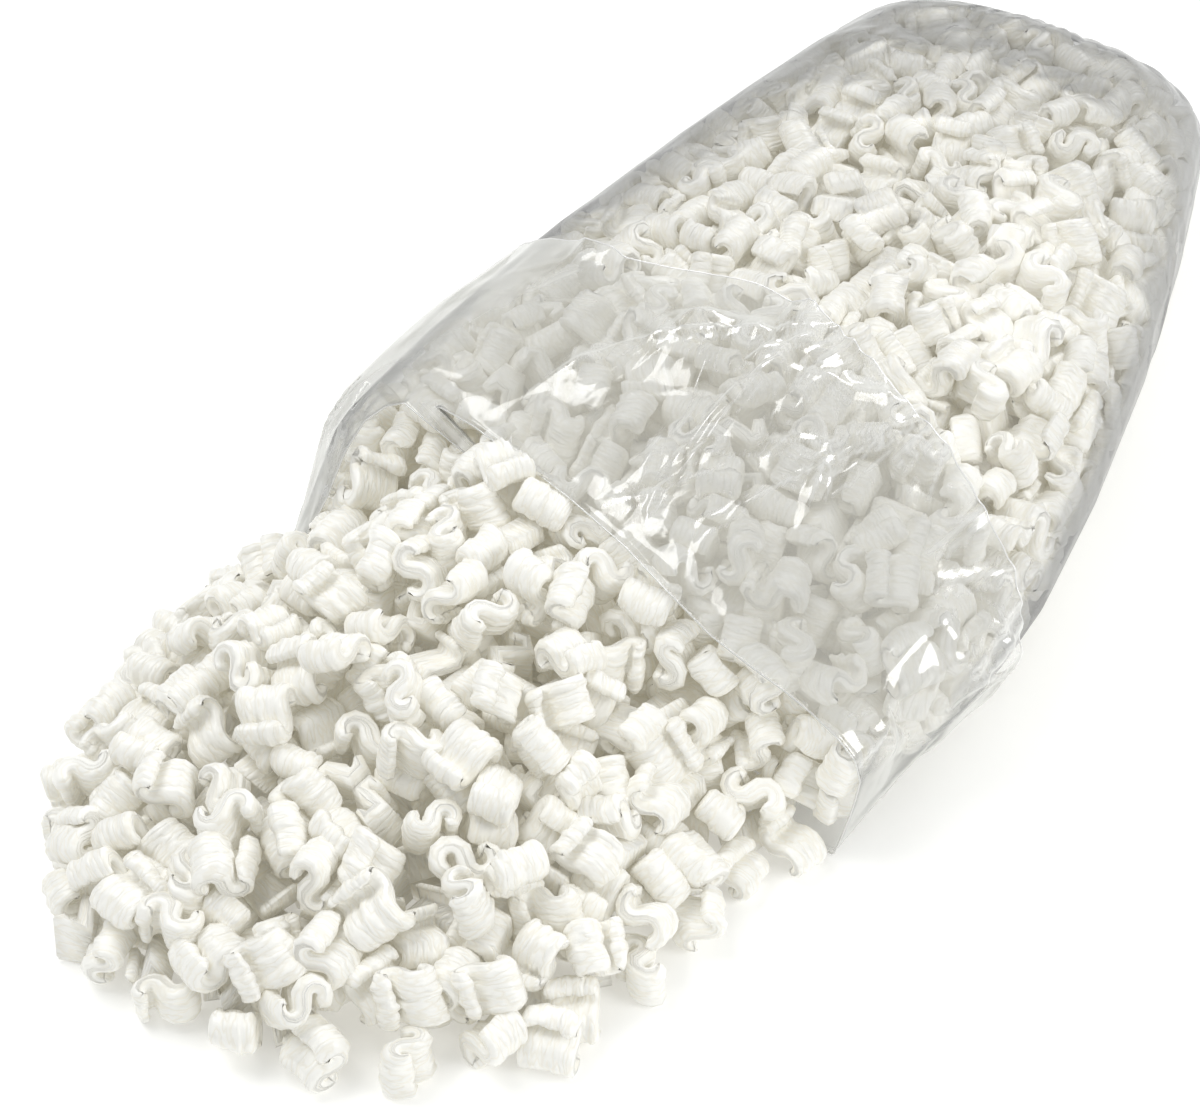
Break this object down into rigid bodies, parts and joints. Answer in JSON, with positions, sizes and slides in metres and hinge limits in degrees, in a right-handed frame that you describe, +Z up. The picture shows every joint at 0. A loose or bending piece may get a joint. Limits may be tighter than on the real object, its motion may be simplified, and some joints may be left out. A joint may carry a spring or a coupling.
{
  "type": "packing peanut bag",
  "caption": "Clear film bag lying on its side, full of S-shaped foam packing peanuts, with its mouth folded back and part of the fill spilled out as a heap.",
  "frame": {"origin": "middle of the whole object's box, on the floor that it lies on", "axes": "+Y along the bag from the spilled heap at its mouth to its sealed end, +X across the bag, +Z up"},
  "size_m": [0.4856, 1.1368, 0.186],
  "materials": {
    "film": "clear glossy polyethylene film with a faint milky haze",
    "foam": "pearly white expanded foam with a ribbed skin"
  },
  "bodies": {
    "root": {"bag_film": "film", "loose_fill": "foam", "spilled_heap": "foam", "peanut_01": "foam", "peanut_02": "foam", "peanut_03": "foam", "peanut_04": "foam", "peanut_05": "foam", "peanut_06": "foam", "peanut_07": "foam", "peanut_08": "foam", "peanut_09": "foam", "peanut_10": "foam", "peanut_11": "foam", "peanut_12": "foam", "peanut_13": "foam", "peanut_14": "foam", "peanut_15": "foam", "peanut_16": "foam", "peanut_17": "foam", "peanut_18": "foam", "peanut_19": "foam", "peanut_20": "foam", "peanut_21": "foam", "peanut_22": "foam", "peanut_23": "foam", "peanut_24": "foam", "peanut_25": "foam", "peanut_26": "foam", "peanut_27": "foam", "peanut_28": "foam", "peanut_29": "foam", "peanut_30": "foam", "peanut_31": "foam", "peanut_32": "foam", "peanut_33": "foam", "peanut_34": "foam", "peanut_35": "foam", "peanut_36": "foam", "peanut_37": "foam", "peanut_38": "foam", "peanut_39": "foam", "peanut_40": "foam", "peanut_41": "foam", "peanut_42": "foam", "peanut_43": "foam", "peanut_44": "foam", "peanut_45": "foam", "peanut_46": "foam", "peanut_47": "foam"}
  },
  "joints": []
}
